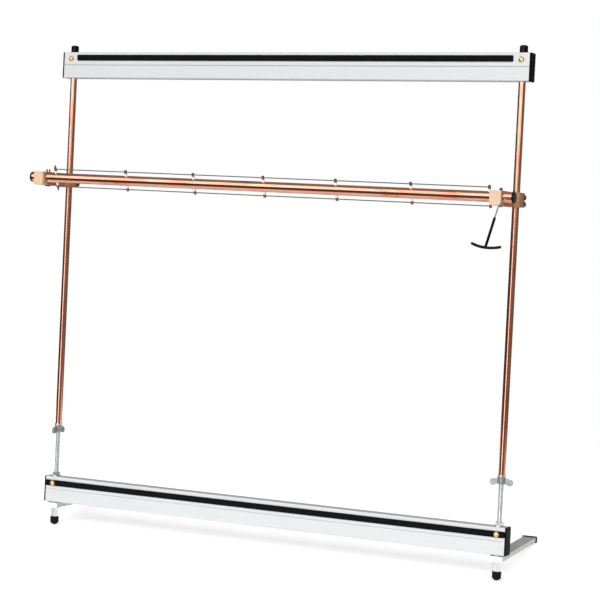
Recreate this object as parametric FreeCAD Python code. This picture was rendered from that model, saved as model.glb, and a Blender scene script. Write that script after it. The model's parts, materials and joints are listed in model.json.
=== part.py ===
import FreeCAD, Part

import math
import os

# Portable tapestry loom, millimetres.
# Everything is first drawn square, in the loom's own frame: X across, Y to the back, Z up along
# the uprights, with the bottom beam's lower front edge at Y = 0, Z = 0 and the loom's middle at
# X = 0. At the end the whole loom is leaned back on its legs and set down on the ground.

V = FreeCAD.Vector
X_AXIS, Y_AXIS, Z_AXIS = V(1, 0, 0), V(0, 1, 0), V(0, 0, 1)
SIDES = {"left": -1, "right": 1}

# Whole loom
LEAN = 8.0                 # degrees that the uprights lean back when the loom stands
LOOM_HEIGHT = 896.5        # bottom of the bottom beam to top of the top beam
UPRIGHT_X = 465.0          # each upright's axis is this far from the middle
UPRIGHT_Y = 12.7           # and in the middle of the beams' depth
RUN = 0.05                 # radial running clearance where one piece turns or slides on another
GAP = 0.3                  # space between pieces of different bodies that only pass each other

# Beams: two square cells, one above the other
CELL = 25.4
CELL_WALL = 1.8
CELL_CORNER = 1.6
BEAM_LENGTH = 961.0
PLUG_FLANGE = 3.0
PLUG_DEPTH = 7.0
PLUG_SLACK = 0.1
BEAM_HOLE_SLACK = 0.06

# Hook strips and set screws on the front of each beam's upper cell
STRIP_HEIGHT = 11.4
STRIP_THICK = 1.6
TOP_STRIP_LENGTH = 901.0
TOP_STRIP_RAISE = 1.8      # the top strip sits a little above the middle of its cell
STRIP_CORNER = 1.5
SET_SCREW_R = 2.5
SET_HEAD_R = 5.6
SET_HEAD_HIGH = 3.8
SET_SLOT = 1.2

# Threaded rods and what is on them
ROD_R = 9.525 / 2
ROD_BOTTOM = -42.0
ROD_TOP = 337.0
NUT_FLATS = 14.3
BEAM_WASHER_THICK = 1.2
BEAM_NUT_HIGH = 6.2
WASHER_R = 9.6
LEG_WASHER_THICK = 2.4
FOOT_TOP = -30.0
FOOT_BOTTOM = -46.5
FOOT_R = 8.4

# Legs
LEG_WIDE, LEG_HIGH, LEG_WALL = 25.4, 9.5, 1.6
LEG_FRONT, LEG_BACK = -1.0, 256.0
LEG_TURN = {"left": 0.0, "right": 3.8}    # degrees that each leg is already swung inwards
LEG_GAP = 0.3              # free space above and below a leg, so that it can swing
LEG_SPACER = 1.4           # the washer between beam and leg
LEG_TOP = -LEG_SPACER - LEG_GAP
RIB_COUNT, RIB_PITCH, RIB_GROOVE, RIB_DEPTH = 5, 4.2, 1.6, 0.5
LEG_PLUG_FLANGE = 8.0
LEG_PLUG_PROUD = 1.2       # the black back plug stands out this far all round the tube
LEG_PLUG_DEPTH = 12.0
LEG_FRONT_FLANGE = 1.5
LEG_FRONT_DEPTH = 5.0
PAD_INSET = 3.0

# Uprights
TUBE_R = 12.7 / 2
TUBE_BORE_R = 10.9 / 2
TUBE_BOTTOM = {"left": 156.5, "right": 143.5}     # the two sides are screwed out unevenly
TUBE_TOP = 908.3
CAP_TOP = 910.5
CAP_R = 7.5
CAP_DOME = 3.6
BUSH_FLANGE_R = 7.9
BUSH_FLANGE_HIGH = 3.2
BUSH_SPIGOT = 12.0

# Wing nuts
WING_HUB_HIGH = 13.0
WING_HUB_TOP_R, WING_HUB_BOTTOM_R = 7.6, 6.6
WING_THICK = 3.2
EAR_R = 6.0
EAR_OUT = 15.5             # rod axis to the middle of an ear
EAR_DROP = 10.0            # top of the hub to the middle of an ear
WING_TURN = {"left": 90.0, "right": 4.0}

# Shed bar and its arms
BAR_Y, BAR_Z = -63.0, 641.0
BAR_TILT = 0.445           # degrees that the bar's right end hangs lower: the left arm is clamped higher
BAR_R, BAR_BORE_R = 19.05 / 2, 8.45
BAR_LEFT, BAR_RIGHT = -502.0, 485.7
BAR_CAP_WALL = 1.0
BAR_CAP_PROUD = 0.4
BAR_CAP_LONG = 3.5
ARM_WIDE = 21.0
ARM_FRONT, ARM_BACK = -79.0, 30.0
ARM_ABOVE, ARM_BELOW = 11.2, 14.8
ARM_YAW = {"left": -2.6, "right": 1.0}            # degrees that each arm is turned on its upright
ARM_EDGE = 1.0
JAW_THICK = 11.0
JAW_FRONT = -5.0
JAW_BOLT_Y = 24.2
JAW_BOLT_DROP = (-3.0, 9.0)     # the two jaw bolts, below the bar's axis
JAW_BOLT_R = 2.4
JAW_HEAD_R, JAW_HEAD_HIGH = 3.9, 3.2
JAW_NUT_FLATS, JAW_NUT_HIGH = 8.0, 4.0
KERF = 1.4
KERF_BACK = -33.0
PINCH_Y = (-50.0, -41.0)
PINCH_R = 1.5
PINCH_ABOVE = 5.5
PINCH_HEAD_R, PINCH_HEAD_HIGH = 3.0, 2.0

# Posts, spacers, eye nuts and heddle rods on the shed bar
POST_TURN = 20.0           # degrees that the posts' tops lean forward
POST_MID, POST_PITCH = 2.0, 146.0
POST_ENDS = (-447.0, 441.4)
POST_R = 1.5
SPACER_R = 2.6
SPACER_END = 14.2
EYE_R = 2.6
EYE_END = 20.7
HEDDLE_OUT = 17.5          # bar axis to heddle rod axis
HEDDLE_R = 1.0
HEDDLE_LEFT, HEDDLE_RIGHT = -450.0, 443.6
LOCK_END = 25.0

# Handle: a bent wire through the bar, with a dipped T grip
HANDLE_X = 472.0
WIRE_R = 1.2
WIRE_TAIL = 15.0
WIRE_BEND = (-106.0, 624.0)     # corner of the wire's bend, as Y and Z
WIRE_BEND_R = 40.0
GRIP_END = (-163.5, 551.6)
GRIP_R = 2.4
GRIP_LENGTH = 66.0
CROSS_HALF = 25.0
CROSS_SAG = 5.0
CROSS_TURN = 4.5           # degrees that the cross piece's right end hangs lower
CROSS_R = 2.5
HANDLE_NUT_R, HANDLE_NUT_HIGH = 3.0, 3.2

# Where the leaned loom is set down: the feet's contact with the ground and the box's middle
COS, SIN = math.cos(math.radians(LEAN)), math.sin(math.radians(LEAN))
BAR_SLOPE = math.tan(math.radians(BAR_TILT))
FLOOR_Z = -UPRIGHT_Y * SIN + FOOT_BOTTOM * COS
BOX_LEFT = BAR_LEFT - BAR_CAP_WALL
BOX_RIGHT = HANDLE_X + CROSS_HALF + CROSS_R - (BAR_Z - GRIP_END[1]) * BAR_SLOPE
PLUG_REACH = LEG_BACK + LEG_PLUG_FLANGE - UPRIGHT_Y
PLUG_SIDE = LEG_WIDE / 2 + LEG_PLUG_PROUD
TURN = math.radians(LEG_TURN["right"])
PLUG_BACK = UPRIGHT_Y + PLUG_REACH * math.cos(TURN) + PLUG_SIDE * math.sin(TURN)
BOX_BACK = PLUG_BACK * COS + (LEG_TOP + LEG_PLUG_PROUD) * SIN
BOX_FRONT = GRIP_END[0] * COS + (GRIP_END[1] - HANDLE_X * BAR_SLOPE) * SIN - CROSS_R
ORIGIN = V((BOX_LEFT + BOX_RIGHT) / 2, (BOX_FRONT + BOX_BACK) / 2, FLOOR_Z)


# ---------------------------------------------------------------- helpers

def box(x, y, z):
    """A block from three (low, high) pairs."""
    return Part.makeBox(x[1] - x[0], y[1] - y[0], z[1] - z[0], V(x[0], y[0], z[0]))


def rod(radius, start, end):
    """A round bar between two points."""
    along = end - start
    return Part.makeCylinder(radius, along.Length, start, along)


def upright_rod(radius, x, y, z):
    """A round bar along Z from a (low, high) pair."""
    return rod(radius, V(x, y, z[0]), V(x, y, z[1]))


def hexagon(flats, start, end):
    """A six-sided bar between two points."""
    along = end - start
    corner = flats / math.sqrt(3)
    points = [V(corner * math.cos(a), corner * math.sin(a), 0)
              for a in (math.radians(60 * k) for k in range(7))]
    prism = Part.Face(Part.makePolygon(points)).extrude(V(0, 0, along.Length))
    prism.Placement = FreeCAD.Placement(start, FreeCAD.Rotation(Z_AXIS, along))
    return prism


def rounded_box(x, y, z, radius, direction):
    """A block whose edges along one direction are rounded."""
    block = box(x, y, z)
    edges = [e for e in block.Edges if abs((e.valueAt(e.LastParameter) - e.valueAt(e.FirstParameter))
                                           .normalize().dot(direction)) > 0.9]
    return block.makeFillet(radius, edges)


def leaned(shape):
    """Lean a piece back about X and set it down in the row frame."""
    shape = shape.copy()
    shape.rotate(V(0, 0, 0), X_AXIS, -LEAN)
    shape.translate(-ORIGIN)
    return shape


# ---------------------------------------------------------------- beams

def beam(bottom, hole_r):
    """A two-cell square extrusion with holes for the uprights or rods and the set screws."""
    half = (-BEAM_LENGTH / 2, BEAM_LENGTH / 2)
    cells = [rounded_box(half, (0, CELL), (bottom + k * CELL, bottom + (k + 1) * CELL),
                         CELL_CORNER, X_AXIS) for k in range(2)]
    body = cells[0].fuse(cells[1])
    inner = (CELL_WALL, CELL - CELL_WALL)
    for k in range(2):
        low = bottom + k * CELL
        body = body.cut(box(half, inner, (low + inner[0], low + inner[1])))
    for side in SIDES.values():
        x = side * UPRIGHT_X
        body = body.cut(upright_rod(hole_r, x, UPRIGHT_Y, (bottom - 1, bottom + 2 * CELL + 1)))
        screw_z = bottom + 1.5 * CELL
        body = body.cut(rod(SET_SCREW_R, V(x, -1, screw_z), V(x, CELL_WALL + 1, screw_z)))
    return body


def beam_plugs(bottom):
    """A flanged plug in each cell end."""
    plugs = []
    for side in SIDES.values():
        face = side * BEAM_LENGTH / 2
        for k in range(2):
            low = bottom + k * CELL
            flange = rounded_box(sorted((face, face + side * PLUG_FLANGE)), (0, CELL),
                                 (low, low + CELL), CELL_CORNER, X_AXIS)
            edge = CELL_WALL + PLUG_SLACK
            spigot = box(sorted((face, face - side * PLUG_DEPTH)), (edge, CELL - edge),
                         (low + edge, low + CELL - edge))
            plugs.append(flange.fuse(spigot).removeSplitter())
    return Part.makeCompound(plugs)


def hook_strip(middle, length, screw_holes):
    """The flat strip on the front of a beam's upper cell, about a height."""
    strip = rounded_box((-length / 2, length / 2), (-STRIP_THICK, 0),
                        (middle - STRIP_HEIGHT / 2, middle + STRIP_HEIGHT / 2), STRIP_CORNER, Y_AXIS)
    if screw_holes:
        for side in SIDES.values():
            x = side * UPRIGHT_X
            strip = strip.cut(rod(SET_SCREW_R, V(x, -STRIP_THICK - 1, middle), V(x, 1, middle)))
    return strip


def set_screws(beam_bottom, seat_y, reach_y):
    """Slotted round-headed screws from the front face to the rod or upright behind it."""
    screws = []
    z = beam_bottom + 1.5 * CELL
    for side in SIDES.values():
        x = side * UPRIGHT_X
        ball_r = (SET_HEAD_R ** 2 + SET_HEAD_HIGH ** 2) / (2 * SET_HEAD_HIGH)
        ball = Part.makeSphere(ball_r, V(x, seat_y - SET_HEAD_HIGH + ball_r, z))
        head = ball.common(box((x - ball_r, x + ball_r), (seat_y - SET_HEAD_HIGH, seat_y),
                               (z - ball_r, z + ball_r)))
        slot = box((x - ball_r, x + ball_r), (seat_y - SET_HEAD_HIGH - 1, seat_y - SET_HEAD_HIGH / 2),
                   (z - SET_SLOT / 2, z + SET_SLOT / 2))
        slot.rotate(V(x, 0, z), Y_AXIS, 35 * side)
        shank = rod(SET_SCREW_R, V(x, seat_y, z), V(x, reach_y, z))
        screws.append(head.cut(slot).fuse(shank).removeSplitter())
    return Part.makeCompound(screws)


# ---------------------------------------------------------------- rods, nuts, feet and legs

def on_both_rods(make):
    """The same piece on the left and right rods, as one group."""
    return Part.makeCompound([make(side * UPRIGHT_X) for side in SIDES.values()])


def washer(x, radius, z):
    return upright_rod(radius, x, UPRIGHT_Y, z).cut(upright_rod(ROD_R, x, UPRIGHT_Y, z))


def rod_nut(x, z):
    nut = hexagon(NUT_FLATS, V(x, UPRIGHT_Y, z[0]), V(x, UPRIGHT_Y, z[1]))
    return nut.cut(upright_rod(ROD_R, x, UPRIGHT_Y, z))


def ground_block(x, y, top):
    """Everything above the ground under a stretch of the loom: its underside slopes with the lean."""
    def ground(at):
        return FOOT_BOTTOM + (at - UPRIGHT_Y) * math.tan(math.radians(LEAN))
    outline = [V(x[0], y[0], ground(y[0])), V(x[0], y[1], ground(y[1])), V(x[0], y[1], top),
               V(x[0], y[0], top), V(x[0], y[0], ground(y[0]))]
    return Part.Face(Part.makePolygon(outline)).extrude(V(x[1] - x[0], 0, 0))


def foot_cap(x):
    """A rubber cap on the rod's lower end, domed, with a small flat where it stands."""
    wall = upright_rod(FOOT_R, x, UPRIGHT_Y, (FOOT_BOTTOM + FOOT_R / 2, FOOT_TOP))
    dome = Part.makeSphere(FOOT_R, V(x, UPRIGHT_Y, FOOT_BOTTOM + FOOT_R - 0.4))
    cap = wall.fuse(dome).cut(upright_rod(ROD_R, x, UPRIGHT_Y, (ROD_BOTTOM, FOOT_TOP + 1)))
    reach = (UPRIGHT_Y - 2 * FOOT_R, UPRIGHT_Y + 2 * FOOT_R)
    return cap.common(ground_block((x - 2 * FOOT_R, x + 2 * FOOT_R), reach, FOOT_TOP)).removeSplitter()


def leg(x):
    """A flat tube with shallow grooves along its top and a hole for the rod."""
    wide = (x - LEG_WIDE / 2, x + LEG_WIDE / 2)
    high = (LEG_TOP - LEG_HIGH, LEG_TOP)
    tube = rounded_box(wide, (LEG_FRONT, LEG_BACK), high, 1.0, Y_AXIS)
    tube = tube.cut(box((wide[0] + LEG_WALL, wide[1] - LEG_WALL), (LEG_FRONT - 1, LEG_BACK + 1),
                        (high[0] + LEG_WALL, high[1] - LEG_WALL)))
    for k in range(RIB_COUNT):
        middle = x + (k - (RIB_COUNT - 1) / 2) * RIB_PITCH
        tube = tube.cut(box((middle - RIB_GROOVE / 2, middle + RIB_GROOVE / 2),
                            (LEG_FRONT - 1, LEG_BACK + 1), (LEG_TOP - RIB_DEPTH, LEG_TOP + 1)))
    return tube.cut(upright_rod(ROD_R + RUN, x, UPRIGHT_Y, (high[0] - 1, high[1] + 1)))


def leg_spigot(x, y):
    """The part of a plug that fills a leg's bore over a stretch of its length."""
    edge = LEG_WALL + PLUG_SLACK
    return box((x - LEG_WIDE / 2 + edge, x + LEG_WIDE / 2 - edge), y,
               (LEG_TOP - LEG_HIGH + edge, LEG_TOP - edge))


def leg_front_plug(x):
    """The light plug in a leg's front end, under the beam."""
    flange = rounded_box((x - LEG_WIDE / 2, x + LEG_WIDE / 2), (LEG_FRONT - LEG_FRONT_FLANGE, LEG_FRONT),
                         (LEG_TOP - LEG_HIGH, LEG_TOP), 1.0, Y_AXIS)
    return flange.fuse(leg_spigot(x, (LEG_FRONT, LEG_FRONT + LEG_FRONT_DEPTH))).removeSplitter()


def leg_plug(x):
    """The black plug in a leg's back end and the pad under it, both longer than the ground allows."""
    spigot = leg_spigot(x, (LEG_BACK - LEG_PLUG_DEPTH, LEG_BACK))
    half = LEG_WIDE / 2 + LEG_PLUG_PROUD
    flange = box((x - half, x + half), (LEG_BACK, LEG_BACK + LEG_PLUG_FLANGE),
                 (2 * FOOT_BOTTOM, LEG_TOP + LEG_PLUG_PROUD))
    half = LEG_WIDE / 2 - PAD_INSET
    pad = box((x - half, x + half), (LEG_BACK - LEG_PLUG_DEPTH, LEG_BACK),
              (2 * FOOT_BOTTOM, LEG_TOP - LEG_HIGH))
    return spigot.fuse([flange, pad])


def swung(shape, name):
    """Swing a piece of one leg about its rod, and cut it off level with the ground."""
    x = SIDES[name] * UPRIGHT_X
    shape = shape.copy()
    shape.rotate(V(x, UPRIGHT_Y, 0), Z_AXIS, SIDES[name] * LEG_TURN[name])
    above = ground_block((x - LEG_BACK, x + LEG_BACK), (-LEG_WIDE, LEG_BACK + LEG_WIDE), LEG_WIDE)
    return shape.common(above).removeSplitter()


# ---------------------------------------------------------------- uprights and wing nuts

def upright(x, bottom):
    tube = upright_rod(TUBE_R, x, UPRIGHT_Y, (bottom, TUBE_TOP))
    return tube.cut(upright_rod(TUBE_BORE_R, x, UPRIGHT_Y, (bottom, TUBE_TOP)))


def upright_cap(x):
    """A soft cap over an upright's upper end, standing on the top beam."""
    cap = upright_rod(CAP_R, x, UPRIGHT_Y, (LOOM_HEIGHT, CAP_TOP))
    cap = cap.makeFillet(CAP_DOME, [e for e in cap.Edges if e.BoundBox.ZMin > CAP_TOP - 0.01])
    return cap.cut(upright_rod(TUBE_R, x, UPRIGHT_Y, (LOOM_HEIGHT, TUBE_TOP)))


def upright_bush(x, bottom):
    """The flanged bush in an upright's lower end, which runs on the threaded rod."""
    flange = upright_rod(BUSH_FLANGE_R, x, UPRIGHT_Y, (bottom - BUSH_FLANGE_HIGH, bottom))
    spigot = upright_rod(TUBE_BORE_R, x, UPRIGHT_Y, (bottom, bottom + BUSH_SPIGOT))
    bore = upright_rod(ROD_R + RUN, x, UPRIGHT_Y, (bottom - BUSH_FLANGE_HIGH, bottom + BUSH_SPIGOT))
    return flange.fuse(spigot).cut(bore).removeSplitter()


def wing_nut(x, bottom, turn):
    """A wing nut with spread ears, just under the bush that it carries."""
    top = bottom - BUSH_FLANGE_HIGH - GAP
    low = top - WING_HUB_HIGH
    hub = Part.makeCone(WING_HUB_BOTTOM_R, WING_HUB_TOP_R, WING_HUB_HIGH, V(0, 0, low))
    wings = []
    ear_z = top - EAR_DROP
    for side in (-1, 1):
        ear = rod(EAR_R, V(side * EAR_OUT, -WING_THICK / 2, ear_z),
                  V(side * EAR_OUT, WING_THICK / 2, ear_z))
        outline = [(4.0, top - 2.0), (8.0, top - 2.5), (EAR_OUT, ear_z + EAR_R),
                   (EAR_OUT, ear_z - EAR_R), (4.0, low + 1.0)]
        points = [V(side * r, -WING_THICK / 2, z) for r, z in outline + outline[:1]]
        web = Part.Face(Part.makePolygon(points)).extrude(V(0, WING_THICK, 0))
        wings += [ear, web]
    nut = hub.fuse(wings)
    nut = nut.cut(rod(ROD_R + RUN, V(0, 0, low - EAR_DROP), V(0, 0, top + 1))).removeSplitter()
    nut.rotate(V(0, 0, 0), Z_AXIS, turn)
    nut.translate(V(x, UPRIGHT_Y, 0))
    return nut


# ---------------------------------------------------------------- arms that carry the shed bar

ARM_Z = (BAR_Z - ARM_BELOW, BAR_Z + ARM_ABOVE)


def cross_holes(shape, x):
    """Cut the upright's groove and the two jaw bolts' holes."""
    shape = shape.cut(upright_rod(TUBE_R + RUN, x, UPRIGHT_Y, (ARM_Z[0] - 1, ARM_Z[1] + 1)))
    for drop in JAW_BOLT_DROP:
        z = BAR_Z - drop
        shape = shape.cut(rod(JAW_BOLT_R, V(x - 2 * ARM_WIDE, JAW_BOLT_Y, z),
                              V(x + 2 * ARM_WIDE, JAW_BOLT_Y, z)))
    return shape


def softened(block, edge):
    return block.makeFillet(edge, block.Edges)


def clamped(shape, name):
    """Turn a piece of one arm on its upright, and lift it to where the tilted bar passes."""
    x = SIDES[name] * UPRIGHT_X
    shape = shape.copy()
    shape.rotate(V(x, UPRIGHT_Y, 0), Z_AXIS, ARM_YAW[name])
    shape.translate(V(0, 0, -x * BAR_SLOPE))
    return shape


def tilted(shape):
    """Turn a piece of the shed bar so that the bar's right end hangs lower."""
    shape = shape.copy()
    shape.rotate(V(0, BAR_Y, BAR_Z), Y_AXIS, BAR_TILT)
    return shape


def arm(name):
    """A wooden arm: a groove for the upright, a bore for the shed bar and a saw cut behind it."""
    x = SIDES[name] * UPRIGHT_X
    face = (x - GAP - ARM_WIDE, x - GAP)
    block = softened(box(face, (ARM_FRONT, ARM_BACK), ARM_Z), ARM_EDGE)
    block = cross_holes(block, x)
    block = block.cut(box((face[0] - 1, face[1] + 1), (BAR_Y, KERF_BACK),
                          (BAR_Z - KERF / 2, BAR_Z + KERF / 2)))
    for y in PINCH_Y:
        block = block.cut(upright_rod(PINCH_R, x - GAP - ARM_WIDE / 2, y, (ARM_Z[0] - 1, ARM_Z[1] + 1)))
    reach = 2 * ARM_WIDE
    bore = tilted(rod(BAR_R + RUN, V(x - reach, BAR_Y, BAR_Z), V(x + reach, BAR_Y, BAR_Z)))
    return clamped(block, name).cut(bore)


def jaw(x):
    """The wooden jaw that closes the arm's groove round the upright."""
    block = softened(box((x + GAP, x + GAP + JAW_THICK), (JAW_FRONT, ARM_BACK), ARM_Z), ARM_EDGE)
    return cross_holes(block, x)


def jaw_bolts(x):
    head_x = x + GAP + JAW_THICK
    nut_x = x - GAP - ARM_WIDE
    bolts = []
    for drop in JAW_BOLT_DROP:
        z = BAR_Z - drop
        shank = rod(JAW_BOLT_R, V(nut_x - JAW_NUT_HIGH - 1, JAW_BOLT_Y, z), V(head_x, JAW_BOLT_Y, z))
        head = rod(JAW_HEAD_R, V(head_x, JAW_BOLT_Y, z), V(head_x + JAW_HEAD_HIGH, JAW_BOLT_Y, z))
        bolts.append(shank.fuse(head).removeSplitter())
    return bolts


def jaw_nuts(x):
    nut_x = x - GAP - ARM_WIDE
    nuts = []
    for drop in JAW_BOLT_DROP:
        ends = (V(nut_x - JAW_NUT_HIGH, JAW_BOLT_Y, BAR_Z - drop), V(nut_x, JAW_BOLT_Y, BAR_Z - drop))
        nuts.append(hexagon(JAW_NUT_FLATS, *ends).cut(rod(JAW_BOLT_R, *ends)))
    return nuts


def pinch_bolts(x):
    """The two upright bolts that draw the saw cut closed, heads below."""
    bolts = []
    middle = x - GAP - ARM_WIDE / 2
    for y in PINCH_Y:
        shank = upright_rod(PINCH_R, middle, y, (ARM_Z[0], ARM_Z[1] + PINCH_ABOVE))
        head = upright_rod(PINCH_HEAD_R, middle, y, (ARM_Z[0] - PINCH_HEAD_HIGH, ARM_Z[0]))
        bolts.append(shank.fuse(head).removeSplitter())
    return bolts


def on_both_arms(make):
    return Part.makeCompound([clamped(piece, name) for name, side in SIDES.items()
                              for piece in make(side * UPRIGHT_X)])


# ---------------------------------------------------------------- shed bar

POST_X = [POST_ENDS[0]] + [POST_MID + k * POST_PITCH for k in range(-2, 3)] + [POST_ENDS[1]]
POST_UP = V(0, -math.sin(math.radians(POST_TURN)), math.cos(math.radians(POST_TURN)))


def bar_point(x, out=0.0):
    """A point on the bar's axis, or out from it along the posts."""
    return V(x, BAR_Y, BAR_Z) + POST_UP * out


def radial(x, radius, inner, outer):
    """A round piece along a post, between two distances from the bar's axis."""
    return rod(radius, bar_point(x, inner), bar_point(x, outer))


def wire_directions():
    bend, end = V(0, *WIRE_BEND), V(0, *GRIP_END)
    return (bend - V(0, BAR_Y, BAR_Z)).normalize(), (end - bend).normalize()


def handle_path():
    """The wire's centre line: a straight run through the bar, one bend and a straight run down."""
    first, second = wire_directions()
    bend = V(HANDLE_X, *WIRE_BEND)
    turn = first.getAngle(second)
    setback = WIRE_BEND_R * math.tan(turn / 2)
    start = V(HANDLE_X, BAR_Y, BAR_Z) - first * WIRE_TAIL
    arc_start, arc_end = bend - first * setback, bend + second * setback
    inward = (second - first).normalize()
    arc_mid = bend + inward * (WIRE_BEND_R / math.cos(turn / 2) - WIRE_BEND_R)
    end = V(HANDLE_X, *GRIP_END) - second * GRIP_LENGTH / 3
    edges = [Part.LineSegment(start, arc_start).toShape(),
             Part.Arc(arc_start, arc_mid, arc_end).toShape(),
             Part.LineSegment(arc_end, end).toShape()]
    return Part.Wire(edges), start, first


def handle_wire():
    path, start, direction = handle_path()
    circle = Part.Wire(Part.Circle(start, direction, WIRE_R).toShape())
    return path.makePipeShell([circle], True, False)


def handle_grip(wire):
    """A dipped stem over the wire's end and a curved cross piece."""
    second = wire_directions()[1]
    end = V(HANDLE_X, *GRIP_END)
    stem = rod(GRIP_R, end - second * GRIP_LENGTH, end)
    turn = math.radians(CROSS_TURN)
    across = V(math.cos(turn), 0, -math.sin(turn))
    tips = [end + across * side * CROSS_HALF - second * CROSS_SAG for side in (-1, 1)]
    arc = Part.Arc(tips[0], end, tips[1]).toShape()
    section = Part.Wire(Part.Circle(tips[0], arc.tangentAt(arc.FirstParameter), CROSS_R).toShape())
    cross = Part.Wire(arc).makePipeShell([section], True, False)
    balls = [Part.makeSphere(CROSS_R, tip) for tip in tips]
    return stem.fuse([cross] + balls).cut(wire).removeSplitter()


def handle_nut():
    first = wire_directions()[0]
    near = V(HANDLE_X, BAR_Y, BAR_Z) - first * (WIRE_TAIL - HANDLE_NUT_HIGH - 1.5)
    far = near - first * HANDLE_NUT_HIGH
    return rod(HANDLE_NUT_R, near, far).cut(rod(WIRE_R, near, far))


def shed_bar():
    ends = V(BAR_LEFT, BAR_Y, BAR_Z), V(BAR_RIGHT, BAR_Y, BAR_Z)
    bar = rod(BAR_R, *ends).cut(rod(BAR_BORE_R, *ends))
    for x in POST_X:
        bar = bar.cut(radial(x, POST_R, -BAR_R - 1, BAR_R + 1))
    first = wire_directions()[0]
    middle = V(HANDLE_X, BAR_Y, BAR_Z)
    return bar.cut(rod(WIRE_R, middle - first * 2 * BAR_R, middle + first * 2 * BAR_R))


def bar_caps():
    caps = []
    for face, inward in ((BAR_LEFT, 1), (BAR_RIGHT, -1)):
        outer = V(face - inward * BAR_CAP_WALL, BAR_Y, BAR_Z)
        inner = V(face + inward * (BAR_CAP_LONG - BAR_CAP_WALL), BAR_Y, BAR_Z)
        cap = rod(BAR_R + BAR_CAP_PROUD, outer, inner)
        caps.append(cap.cut(rod(BAR_R, V(face, BAR_Y, BAR_Z), inner)))
    return Part.makeCompound(caps)


def heddle_rod(way):
    return rod(HEDDLE_R, bar_point(HEDDLE_LEFT, way * HEDDLE_OUT),
               bar_point(HEDDLE_RIGHT, way * HEDDLE_OUT))


def posts():
    """One stud through the bar at each post, ending under the heddle rods."""
    reach = HEDDLE_OUT - HEDDLE_R
    return Part.makeCompound([radial(x, POST_R, -reach, reach) for x in POST_X])


def along_posts(make):
    return Part.makeCompound([make(x, way) for x in POST_X for way in (1, -1)])


def spacer(x, way):
    ring = radial(x, SPACER_R, way * BAR_BORE_R, way * SPACER_END)
    ring = ring.cut(radial(x, POST_R, way * (BAR_BORE_R - 1), way * (SPACER_END + 1)))
    return ring.cut(rod(BAR_R, V(x - 9, BAR_Y, BAR_Z), V(x + 9, BAR_Y, BAR_Z)))


def eye_nut(x, way):
    nut = radial(x, EYE_R, way * SPACER_END, way * EYE_END)
    nut = nut.cut(radial(x, POST_R, way * SPACER_END, way * (HEDDLE_OUT - HEDDLE_R)))
    if x == POST_ENDS[0]:
        nut = nut.cut(radial(x, POST_R, way * (HEDDLE_OUT + HEDDLE_R), way * (EYE_END + 1)))
    return nut.cut(rod(HEDDLE_R, bar_point(x - 9, way * HEDDLE_OUT), bar_point(x + 9, way * HEDDLE_OUT)))


def lock_screws():
    """Short screws that hold the heddle rods in the left-hand eye nuts."""
    return Part.makeCompound([radial(POST_ENDS[0], POST_R, way * (HEDDLE_OUT + HEDDLE_R), way * LOCK_END)
                              for way in (1, -1)])


# ---------------------------------------------------------------- the whole loom

def build():
    top_bottom = LOOM_HEIGHT - 2 * CELL
    washer_low = LEG_TOP - LEG_HIGH - LEG_GAP - LEG_WASHER_THICK
    nut_seat = 2 * CELL + BEAM_WASHER_THICK
    wire = handle_wire()
    nodes = {
        "bottom_beam": beam(0, ROD_R + BEAM_HOLE_SLACK),
        "bottom_beam_plugs": beam_plugs(0),
        "bottom_hook_strip": hook_strip(1.5 * CELL, BEAM_LENGTH, True),
        "bottom_set_screws": set_screws(0, -STRIP_THICK, UPRIGHT_Y - ROD_R),
        "beam_washers": on_both_rods(lambda x: washer(x, WASHER_R, (2 * CELL, nut_seat))),
        "beam_nuts": on_both_rods(lambda x: rod_nut(x, (nut_seat, nut_seat + BEAM_NUT_HIGH))),
        "leg_spacers": on_both_rods(lambda x: washer(x, WASHER_R, (-LEG_SPACER, 0))),
        "leg_washers": on_both_rods(
            lambda x: washer(x, WASHER_R, (washer_low, washer_low + LEG_WASHER_THICK))),
        "coupling_nuts": on_both_rods(lambda x: rod_nut(x, (FOOT_TOP, washer_low))),
        "upright_bushes": Part.makeCompound(
            [upright_bush(side * UPRIGHT_X, TUBE_BOTTOM[name]) for name, side in SIDES.items()]),
        "upright_caps": on_both_rods(upright_cap),
        "top_beam": beam(top_bottom, TUBE_R + BEAM_HOLE_SLACK),
        "top_beam_plugs": beam_plugs(top_bottom),
        "top_hook_strip": hook_strip(top_bottom + 1.5 * CELL + TOP_STRIP_RAISE, TOP_STRIP_LENGTH, False),
        "top_set_screws": set_screws(top_bottom, 0, UPRIGHT_Y - TUBE_R),
        "jaw_bolts": on_both_arms(jaw_bolts),
        "jaw_nuts": on_both_arms(jaw_nuts),
        "pinch_bolts": on_both_arms(pinch_bolts),
    }
    turning = {
        "shed_bar": shed_bar(),
        "bar_caps": bar_caps(),
        "post_studs": posts(),
        "post_spacers": along_posts(spacer),
        "eye_nuts": along_posts(eye_nut),
        "lock_screws": lock_screws(),
        "top_heddle_rod": heddle_rod(1),
        "bottom_heddle_rod": heddle_rod(-1),
        "handle_wire": wire,
        "handle_nut": handle_nut(),
        "handle_grip": handle_grip(wire),
    }
    nodes.update({name: tilted(shape) for name, shape in turning.items()})
    for name, side in SIDES.items():
        x = side * UPRIGHT_X
        nodes[name + "_threaded_rod"] = upright_rod(ROD_R, x, UPRIGHT_Y, (ROD_BOTTOM, ROD_TOP))
        nodes[name + "_foot_cap"] = foot_cap(x)
        nodes[name + "_leg"] = swung(leg(x), name)
        nodes[name + "_leg_plug"] = swung(leg_plug(x), name)
        nodes[name + "_leg_front_plug"] = swung(leg_front_plug(x), name)
        nodes[name + "_upright"] = upright(x, TUBE_BOTTOM[name])
        nodes[name + "_wing_nut"] = wing_nut(x, TUBE_BOTTOM[name], WING_TURN[name])
        nodes[name + "_arm"] = arm(name)
        nodes[name + "_jaw"] = clamped(jaw(x), name)
    return {name: leaned(shape) for name, shape in nodes.items()}


os.makedirs("parts", exist_ok=True)
for node_name, node_shape in build().items():
    node_shape.exportStep("parts/" + node_name + ".step")
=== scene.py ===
import json
import math

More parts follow.
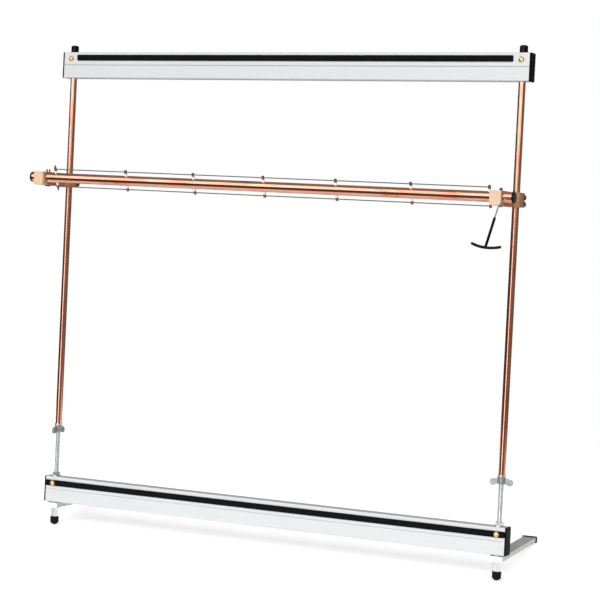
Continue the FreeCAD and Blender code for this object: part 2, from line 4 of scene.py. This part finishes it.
import bmesh
import bpy
from mathutils import Matrix, Vector


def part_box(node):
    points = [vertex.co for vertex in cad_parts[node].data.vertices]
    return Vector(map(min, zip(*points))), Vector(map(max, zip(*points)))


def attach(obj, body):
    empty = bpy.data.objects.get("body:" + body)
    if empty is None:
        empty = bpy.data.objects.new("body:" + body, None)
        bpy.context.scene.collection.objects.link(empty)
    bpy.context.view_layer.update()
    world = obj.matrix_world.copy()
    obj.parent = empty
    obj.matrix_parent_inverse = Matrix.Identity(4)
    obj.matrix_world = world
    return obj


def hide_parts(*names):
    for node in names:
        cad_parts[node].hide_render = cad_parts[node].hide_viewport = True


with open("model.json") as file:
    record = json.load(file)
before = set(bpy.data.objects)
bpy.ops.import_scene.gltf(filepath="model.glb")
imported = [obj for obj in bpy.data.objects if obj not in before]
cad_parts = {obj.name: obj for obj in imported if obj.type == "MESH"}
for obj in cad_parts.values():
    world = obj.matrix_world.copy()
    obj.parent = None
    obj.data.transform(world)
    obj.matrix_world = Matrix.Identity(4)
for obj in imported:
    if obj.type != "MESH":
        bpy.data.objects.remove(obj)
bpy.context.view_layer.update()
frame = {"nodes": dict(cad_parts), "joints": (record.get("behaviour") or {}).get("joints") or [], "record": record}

# The loom leans back; most pieces are drawn in its own axes: X across, then back, then up the uprights.
JOINTS = {joint["name"]: joint for joint in frame["joints"]}
UP = Vector(JOINTS["height_slide"]["axis"]).normalized()
BACK = Vector((0, UP.z, -UP.y))
LEANED = Matrix((Vector((1, 0, 0)), BACK, UP)).transposed().to_4x4()
LEAN_ANGLE = math.atan2(UP.y, UP.z)


def leaned_box(node):
    """Lowest and highest corner of a CAD node, measured along the loom's own axes."""
    points = [LEANED.transposed() @ v.co for v in frame["nodes"][node].data.vertices]
    low = Vector(min(p[k] for p in points) for k in range(3))
    high = Vector(max(p[k] for p in points) for k in range(3))
    return low, high


# ---------------------------------------------------------------- materials

def shader(name, colour, metallic=0.0, roughness=0.5, **sockets):
    """A new material and its parts; extra sockets are constants on the Principled shader."""
    mat = bpy.data.materials.new(name)
    mat.use_nodes = True
    tree = mat.node_tree
    bsdf = tree.nodes["Principled BSDF"]
    bsdf.inputs["Base Color"].default_value = (*colour, 1)
    bsdf.inputs["Metallic"].default_value = metallic
    bsdf.inputs["Roughness"].default_value = roughness
    for socket, value in sockets.items():
        bsdf.inputs[socket.replace("_", " ")].default_value = value
    return mat, tree, bsdf


def coordinates(tree, stretch):
    """Object coordinates turned into the loom's own axes and stretched along them."""
    place = tree.nodes.new("ShaderNodeTexCoord")
    turn = tree.nodes.new("ShaderNodeMapping")
    turn.inputs["Rotation"].default_value = (LEAN_ANGLE, 0, 0)
    scale = tree.nodes.new("ShaderNodeMapping")
    scale.inputs["Scale"].default_value = stretch
    tree.links.new(place.outputs["Object"], turn.inputs["Vector"])
    tree.links.new(turn.outputs["Vector"], scale.inputs["Vector"])
    return scale.outputs["Vector"]


def noise(tree, stretch, detail=3.0, rough=0.55, distortion=0.0):
    """Noise stretched along the loom's own axes."""
    texture = tree.nodes.new("ShaderNodeTexNoise")
    texture.inputs["Scale"].default_value = 1.0
    texture.inputs["Detail"].default_value = detail
    texture.inputs["Roughness"].default_value = rough
    texture.inputs["Distortion"].default_value = distortion
    tree.links.new(coordinates(tree, stretch), texture.inputs["Vector"])
    return texture.outputs["Fac"]


def ramp(tree, value, stops):
    """Colours at positions along a value."""
    node = tree.nodes.new("ShaderNodeValToRGB")
    elements = node.color_ramp.elements
    while len(elements) < len(stops):
        elements.new(0.5)
    for element, (position, colour) in zip(elements, stops):
        element.position = position
        element.color = (*colour, 1)
    tree.links.new(value, node.inputs["Fac"])
    return node.outputs["Color"]


def between(tree, value, low, high, start=0.3, end=0.7):
    """A value squeezed into a range."""
    node = tree.nodes.new("ShaderNodeMapRange")
    node.inputs["From Min"].default_value = start
    node.inputs["From Max"].default_value = end
    node.inputs["To Min"].default_value = low
    node.inputs["To Max"].default_value = high
    tree.links.new(value, node.inputs["Value"])
    return node.outputs["Result"]


def mixed(tree, factor, first, second):
    """Two colours mixed by a factor; each is a constant or an output of another node."""
    node = tree.nodes.new("ShaderNodeMix")
    node.data_type = "RGBA"
    for socket, value in ((node.inputs["Factor"], factor), (node.inputs[6], first), (node.inputs[7], second)):
        if isinstance(value, (float, tuple)):
            socket.default_value = value
        else:
            tree.links.new(value, socket)
    return node.outputs[2]


def bump(tree, bsdf, height, distance, strength):
    """Relief on a material, its distance in metres."""
    node = tree.nodes.new("ShaderNodeBump")
    node.inputs["Distance"].default_value = distance
    node.inputs["Strength"].default_value = strength
    tree.links.new(height, node.inputs["Height"])
    tree.links.new(node.outputs["Normal"], bsdf.inputs["Normal"])


def brushed_aluminium(name, colour, dark, roughness, along, metallic):
    """Satin aluminium with fine lines along one of the loom's axes and a few soft clouds."""
    mat, tree, bsdf = shader(name, colour, metallic, roughness)
    fine = [9000.0] * 3
    fine[along] = 60.0
    coarse = [900.0] * 3
    coarse[along] = 9.0
    lines, streaks = noise(tree, fine, 2.0), noise(tree, coarse, 4.0)
    clouds = noise(tree, (7.0, 7.0, 7.0), 3.0)
    tint = ramp(tree, streaks, [(0.3, dark), (0.7, colour)])
    shade = mixed(tree, between(tree, clouds, 0.0, 0.35), tint, (*[c * 0.9 for c in colour], 1.0))
    tree.links.new(shade, bsdf.inputs["Base Color"])
    tree.links.new(between(tree, streaks, roughness - 0.06, roughness + 0.08), bsdf.inputs["Roughness"])
    bump(tree, bsdf, lines, 0.00002, 0.5)
    return mat


def copper(name, along):
    """Drawn copper tube: bright, with long faint draw lines and patches of warmer tarnish."""
    bright, warm, deep = (0.77, 0.38, 0.27), (0.66, 0.28, 0.18), (0.36, 0.12, 0.06)
    mat, tree, bsdf = shader(name, bright, 1.0, 0.2)
    drawn = [2600.0] * 3
    drawn[along] = 14.0
    patch = [60.0] * 3
    patch[along] = 12.0
    lines, patches = noise(tree, drawn, 3.0), noise(tree, patch, 5.0, 0.62, 0.6)
    specks = noise(tree, (2200.0, 2200.0, 2200.0), 2.0)
    body = ramp(tree, patches, [(0.30, deep), (0.44, warm), (0.62, bright)])
    body = mixed(tree, between(tree, lines, 0.0, 0.30), body, (*warm, 1.0))
    body = mixed(tree, between(tree, specks, 0.0, 0.5, 0.68, 0.8), body, (*deep, 1.0))
    tree.links.new(body, bsdf.inputs["Base Color"])
    tree.links.new(between(tree, patches, 0.17, 0.09), bsdf.inputs["Roughness"])
    bump(tree, bsdf, lines, 0.00002, 0.2)
    return mat


def plated(name, colour, spangle, roughness, cell=900.0):
    """Zinc, brass or dark plating: small soft patches of brighter and duller metal."""
    mat, tree, bsdf = shader(name, colour, 1.0, roughness)
    patches = noise(tree, (cell, cell, cell), 3.0)
    broad = noise(tree, (90.0, 90.0, 90.0), 3.0)
    tint = ramp(tree, patches, [(0.32, spangle), (0.62, colour)])
    tint = mixed(tree, between(tree, broad, 0.0, 0.4), tint, (*[0.72 * c for c in colour], 1.0))
    tree.links.new(tint, bsdf.inputs["Base Color"])
    tree.links.new(between(tree, broad, roughness - 0.07, roughness + 0.1), bsdf.inputs["Roughness"])
    bump(tree, bsdf, patches, 0.00003, 0.5)
    return mat


def moulded(name, colour, roughness, grain=2600.0, depth=0.00005, **sockets):
    """Moulded plastic, vinyl or rubber with a fine grain and faint handling marks."""
    mat, tree, bsdf = shader(name, colour, 0.0, roughness, **sockets)
    pores = noise(tree, (grain, grain, grain), 2.0)
    wear = noise(tree, (70.0, 70.0, 70.0), 5.0, 0.65)
    tint = ramp(tree, wear, [(0.35, colour), (0.75, tuple(min(1.0, c * 1.5 + 0.002) for c in colour))])
    tree.links.new(tint, bsdf.inputs["Base Color"])
    tree.links.new(between(tree, wear, roughness - 0.08, roughness + 0.1), bsdf.inputs["Roughness"])
    bump(tree, bsdf, pores, depth, 0.6)
    return mat


def hardwood(name):
    """Oiled hardwood: growth rings cut along the arm, dark pores, and painted shade that darkens the arm behind
    its pale front end.
    """
    pale, tan, brown = (0.76, 0.57, 0.40), (0.62, 0.40, 0.23), (0.30, 0.14, 0.06)
    # This brown is painted shade: the arm darkens to it behind its front end, which stays pale as if lit.
    painted_shade_brown = (0.36, 0.14, 0.045)
    mat, tree, bsdf = shader(name, tan, 0.0, 0.45, Coat_Weight=0.12, Coat_Roughness=0.3)
    rings = tree.nodes.new("ShaderNodeTexWave")
    rings.wave_type, rings.rings_direction = "RINGS", "Y"
    rings.inputs["Scale"].default_value = 1.0
    rings.inputs["Distortion"].default_value = 4.0
    rings.inputs["Detail"].default_value = 2.0
    rings.inputs["Detail Scale"].default_value = 1.2
    tree.links.new(coordinates(tree, (70.0, 6.0, 70.0)), rings.inputs["Vector"])
    figure = ramp(tree, rings.outputs["Fac"], [(0.0, tan), (0.5, pale), (0.88, pale), (1.0, tan)])
    pores = noise(tree, (1500.0, 60.0, 1500.0), 2.0)
    shade = mixed(tree, between(tree, pores, 0.22, 0.0, 0.30, 0.42), figure, (*brown, 1.0))
    clouds = noise(tree, (30.0, 9.0, 30.0), 3.0)
    shade = mixed(tree, between(tree, clouds, 0.0, 0.35), shade, (*tan, 1.0))
    split = tree.nodes.new("ShaderNodeSeparateXYZ")
    tree.links.new(coordinates(tree, (1.0, 1.0, 1.0)), split.inputs["Vector"])
    # Painted shade: from 1 to 22 mm behind the front end, the arm turns towards the shade brown; the front end
    # keeps the pale colour as if lit.
    front = leaned_box("left_arm")[0].y
    painted_shade_behind_front = between(tree, split.outputs["Y"], 0.0, 0.85, front + 0.001, front + 0.022)
    shade = mixed(tree, painted_shade_behind_front, shade, (*painted_shade_brown, 1.0))
    tree.links.new(shade, bsdf.inputs["Base Color"])
    tree.links.new(between(tree, pores, 0.55, 0.42), bsdf.inputs["Roughness"])
    bump(tree, bsdf, pores, 0.00008, 0.4)
    return mat


SILVER, GREY = (0.60, 0.61, 0.62), (0.66, 0.655, 0.65)
MATERIALS = {
    "beam_aluminium": brushed_aluminium("beam_aluminium", SILVER, (0.56, 0.57, 0.58), 0.5, 0, 0.28),
    "leg_aluminium": brushed_aluminium("leg_aluminium", GREY, (0.30, 0.295, 0.29), 0.42, 1, 0.35),
    "copper_upright": copper("copper_upright", 2),
    "copper_bar": copper("copper_bar", 0),
    "zinc_steel": plated("zinc_steel", (0.80, 0.82, 0.84), (0.64, 0.66, 0.68), 0.26),
    "cast_zinc": plated("cast_zinc", (0.34, 0.35, 0.355), (0.22, 0.225, 0.23), 0.42),
    "brass": plated("brass", (0.86, 0.63, 0.30), (0.62, 0.42, 0.17), 0.20),
    "aged_brass": plated("aged_brass", (0.34, 0.26, 0.12), (0.17, 0.13, 0.06), 0.3),
    "dark_steel": plated("dark_steel", (0.17, 0.16, 0.15), (0.09, 0.085, 0.08), 0.35),
    "rod_steel": plated("rod_steel", (0.17, 0.17, 0.18), (0.11, 0.11, 0.115), 0.35),
    "black_plastic": moulded("black_plastic", (0.002, 0.002, 0.0022), 0.45, Specular_IOR_Level=0.02),
    "hook_strip": moulded("hook_strip", (0.0025, 0.0025, 0.0035), 0.7, 1500.0, 0.0003,
                          Specular_IOR_Level=0.06),
    "black_vinyl": moulded("black_vinyl", (0.002, 0.002, 0.0022), 0.2, 1200.0, 0.00002,
                           Specular_IOR_Level=0.1),
    "rubber": moulded("rubber", (0.003, 0.003, 0.003), 0.5, 1800.0, 0.00008, Specular_IOR_Level=0.08),
    "wood": hardwood("wood"),
    "nylon": moulded("nylon", (0.88, 0.87, 0.83), 0.4, 1800.0, 0.00003,
                     Subsurface_Weight=0.3, Subsurface_Radius=(0.002, 0.002, 0.0018)),
}
NODE_SLOTS = {part["node"]: part["material_slot"] for part in frame["record"]["subparts"]}


def finish_of(node):
    """The material of a CAD node: copper's draw lines run along the bar or along the uprights."""
    slot = NODE_SLOTS[node]
    if slot == "copper":
        return MATERIALS["copper_bar" if node == "shed_bar" else "copper_upright"]
    if node in ("eye_nuts", "jaw_nuts"):
        return MATERIALS["aged_brass"]
    if node.endswith("wing_nut"):
        return MATERIALS["cast_zinc"]
    return MATERIALS[slot]


def paint(piece, material):
    piece.data.materials.clear()
    piece.data.materials.append(material)


for node_name, node in frame["nodes"].items():
    paint(node, finish_of(node_name))


# ---------------------------------------------------------------- pieces finer than the CAD

def new_piece(name, shape, body, material, slot, *nodes):
    """Turn a bmesh into a piece that stands for CAD nodes and moves with their body."""
    bmesh.ops.recalc_face_normals(shape, faces=shape.faces)
    mesh = bpy.data.meshes.new(name)
    shape.to_mesh(mesh)
    shape.free()
    piece = bpy.data.objects.new(name, mesh)
    bpy.context.scene.collection.objects.link(piece)
    paint(piece, MATERIALS[material])
    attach(piece, body)
    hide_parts(*nodes)
    return piece


THREAD_PITCH = 0.0254 / 16
THREAD_DEPTH = 0.0009
TURN_STEPS = 20
# One pitch of the thread: how far along, and how far down from the crest as a part of the depth.
THREAD_PROFILE = ((0.0, 0.0), (0.15, 0.0), (0.5, 1.0), (0.65, 1.0))


def screw_thread(node):
    """A closed bar with a helical thread, as long and as thick as a CAD rod."""
    low, high = leaned_box(node)
    centre = Vector(((low.x + high.x) / 2, (low.y + high.y) / 2, 0))
    radius, length = (high.x - low.x) / 2, high.z - low.z
    shape = bmesh.new()
    rows = []
    turns = math.ceil(length / THREAD_PITCH) + 1
    for turn in range(-1, turns):
        for along, down in THREAD_PROFILE:
            row = []
            for step in range(TURN_STEPS):
                angle = 2 * math.pi * step / TURN_STEPS
                height = (turn + along + step / TURN_STEPS) * THREAD_PITCH
                height = min(max(height, 0.0), length)
                end = min(height, length - height) / THREAD_PITCH
                depth = THREAD_DEPTH * (down if end > 0.6 else 1.0)
                point = Vector((math.cos(angle), math.sin(angle), 0)) * (radius - depth)
                row.append(shape.verts.new(LEANED @ (centre + point + Vector((0, 0, low.z + height)))))
            rows.append(row)
    flat = [vertex for row in rows for vertex in row]
    profile = len(THREAD_PROFILE)
    for index, row in enumerate(rows[:-profile]):
        for step in range(TURN_STEPS):
            if step + 1 < TURN_STEPS:
                corners = (row[step], row[step + 1], rows[index + 1][step + 1], rows[index + 1][step])
            else:
                start = rows[index + profile][0]
                corners = (row[step], start, rows[index + profile + 1][0] if index + profile + 1 < len(rows)
                           else start, rows[index + 1][step])
            if len(set(corners)) == 4:
                shape.faces.new(corners)
    bmesh.ops.remove_doubles(shape, verts=flat, dist=1e-7)
    open_edges = [edge for edge in shape.edges if edge.is_boundary]
    bmesh.ops.holes_fill(shape, edges=open_edges, sides=0)
    bmesh.ops.dissolve_degenerate(shape, dist=1e-7, edges=shape.edges)
    return shape


for side_name in ("left", "right"):
    rod_node = f"{side_name}_threaded_rod"
    new_piece(f"{side_name}_rod_thread", screw_thread(rod_node), "base", "zinc_steel", "zinc_steel", rod_node)


def dipped_grip():
    """The handle's grip, as one smooth skin over its stem and cross piece."""
    shape = bmesh.new()
    shape.from_mesh(frame["nodes"]["handle_grip"].data)
    piece = new_piece("dipped_grip", shape, "shed_bar", "black_vinyl", "black_vinyl", "handle_grip")
    voxel = piece.modifiers.new("skin", "REMESH")
    voxel.mode = "VOXEL"
    voxel.voxel_size = 0.0006
    voxel.use_smooth_shade = True
    smooth = piece.modifiers.new("flow", "SMOOTH")
    smooth.factor = 0.5
    smooth.iterations = 6


dipped_grip()

# ---------------------------------------------------------------- camera, floor and light

def camera():
    """A long lens at the weaver's right, a little above the shed bar's height."""
    azimuth, elevation, roll = (math.radians(a) for a in (24.70, 9.10, -0.56))
    distance, target_height = 3.3833, 0.4750
    right_of_beam, behind_beam = 0.0516, 0.0581
    low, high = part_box("bottom_beam")
    target = Vector(((low[0] + high[0]) / 2 + right_of_beam, (low[1] + high[1]) / 2 + behind_beam,
                     target_height))
    back = Vector((math.sin(azimuth) * math.cos(elevation), -math.cos(azimuth) * math.cos(elevation),
                   math.sin(elevation)))
    data = bpy.data.cameras.new("camera")
    data.sensor_width, data.lens = 36.0, 107.92
    data.clip_end = 200.0
    piece = bpy.data.objects.new("camera", data)
    bpy.context.scene.collection.objects.link(piece)
    right = Vector((math.cos(azimuth), math.sin(azimuth), 0))
    up = right.cross(-back).normalized()
    turned = (right * math.cos(roll) + up * math.sin(roll), up * math.cos(roll) - right * math.sin(roll))
    piece.matrix_world = Matrix.Translation(target + back * distance) @ \
        Matrix((turned[0], turned[1], back)).transposed().to_4x4()
    bpy.context.scene.camera = piece


# Soft boxes of the studio: azimuth from the front towards the right, then elevation, both as
# (low, high) in degrees, then the softness of their edges in degrees and their brightness.
SOFT_BOXES = [
    ((-11, 5), (-30, 14), 3, 5.0),         # a tall narrow box in front, seen in the uprights
    ((30, 75), (-30, 14), 8, 0.22),        # a dim one at its right
    ((-185, 185), (45, 95), 14, 0.45),     # ceiling
    ((70, 150), (-12, 12), 14, 0.22),      # pale wall at the right
    ((150, 185), (-10, 40), 12, 0.4),      # pale walls behind
    ((-185, -150), (-10, 40), 12, 0.4),
]
# A long bank of light parallel to the beams: the angle of its slope from the front over the top, then
# how far it reaches to each side, both in degrees, then the softness of its edges and its brightness.
LONG_BANK = ((12, 62), (-50, 50), 2.5, 3.2)
ROOM_LIGHT = 0.085


def math_node(tree, operation, *values):
    """One sum on the light's directions; each value is a constant or another node's output."""
    node = tree.nodes.new("ShaderNodeMath")
    node.operation = operation
    for socket, value in zip(node.inputs, values):
        if isinstance(value, (int, float)):
            socket.default_value = value
        else:
            tree.links.new(value, socket)
    return node.outputs["Value"]


def window(tree, value, low, high, soft):
    """One inside a range of degrees, nothing outside it, with soft edges."""
    def step(edge):
        node = tree.nodes.new("ShaderNodeMapRange")
        node.interpolation_type = "SMOOTHSTEP"
        node.inputs["From Min"].default_value = math.radians(edge - soft)
        node.inputs["From Max"].default_value = math.radians(edge + soft)
        tree.links.new(value, node.inputs["Value"])
        return node.outputs["Result"]
    return math_node(tree, "SUBTRACT", step(low), step(high))


def studio_world():
    """A dim room with large soft boxes; behind the loom, the camera sees a pale backdrop."""
    world = bpy.data.worlds.new("studio")
    world.use_nodes = True
    bpy.context.scene.world = world
    tree = world.node_tree
    for node in list(tree.nodes):
        tree.nodes.remove(node)
    place = tree.nodes.new("ShaderNodeTexCoord")
    split = tree.nodes.new("ShaderNodeSeparateXYZ")
    tree.links.new(place.outputs["Generated"], split.inputs["Vector"])
    x, y, z = split.outputs
    azimuth = math_node(tree, "ARCTAN2", x, math_node(tree, "MULTIPLY", y, -1.0))
    elevation = math_node(tree, "ARCSINE", z)
    slope = math_node(tree, "ARCTAN2", z, math_node(tree, "MULTIPLY", y, -1.0))
    side = math_node(tree, "ARCSINE", x)
    shapes = [(azimuth, elevation, *box) for box in SOFT_BOXES] + [(slope, side, *LONG_BANK)]
    light = ROOM_LIGHT
    for first, second, first_range, second_range, soft, strength in shapes:
        inside = math_node(tree, "MULTIPLY", window(tree, first, *first_range, soft),
                           window(tree, second, *second_range, soft))
        light = math_node(tree, "ADD", math_node(tree, "MULTIPLY", inside, strength), light)
    room = tree.nodes.new("ShaderNodeBackground")
    tree.links.new(light, room.inputs["Strength"])
    seen = tree.nodes.new("ShaderNodeBackground")
    seen.inputs["Color"].default_value = (1.0, 1.0, 1.0, 1)
    path = tree.nodes.new("ShaderNodeLightPath")
    choose = tree.nodes.new("ShaderNodeMixShader")
    output = tree.nodes.new("ShaderNodeOutputWorld")
    tree.links.new(path.outputs["Is Camera Ray"], choose.inputs["Fac"])
    tree.links.new(room.outputs["Background"], choose.inputs[1])
    tree.links.new(seen.outputs["Background"], choose.inputs[2])
    tree.links.new(choose.outputs["Shader"], output.inputs["Surface"])


def floor():
    """A pale floor, wider than it is deep, that fades into the backdrop at its rim."""
    spokes, solid, radius, wide = 96, 0.55, 1.0, 3.0
    mesh = bpy.data.meshes.new("floor")
    shape = bmesh.new()
    bmesh.ops.create_circle(shape, cap_ends=True, segments=spokes, radius=radius)
    bmesh.ops.scale(shape, vec=(wide, 1, 1), verts=shape.verts)
    shape.to_mesh(mesh)
    shape.free()
    piece = bpy.data.objects.new("floor", mesh)
    bpy.context.scene.collection.objects.link(piece)
    mat, tree, bsdf = shader("floor", (0.93, 0.93, 0.93), 0.0, 0.9, Specular_IOR_Level=0.1,
                             Emission_Strength=0.42)
    bsdf.inputs["Emission Color"].default_value = (1, 1, 1, 1)
    place = tree.nodes.new("ShaderNodeTexCoord")
    narrow = tree.nodes.new("ShaderNodeMapping")
    narrow.inputs["Scale"].default_value = (1 / wide, 1, 1)
    length = tree.nodes.new("ShaderNodeVectorMath")
    length.operation = "LENGTH"
    tree.links.new(place.outputs["Object"], narrow.inputs["Vector"])
    tree.links.new(narrow.outputs["Vector"], length.inputs[0])
    tree.links.new(between(tree, length.outputs["Value"], 1.0, 0.0, solid, radius), bsdf.inputs["Alpha"])
    paint(piece, mat)


bpy.context.scene.view_settings.view_transform = "Standard"
camera()
studio_world()
floor()
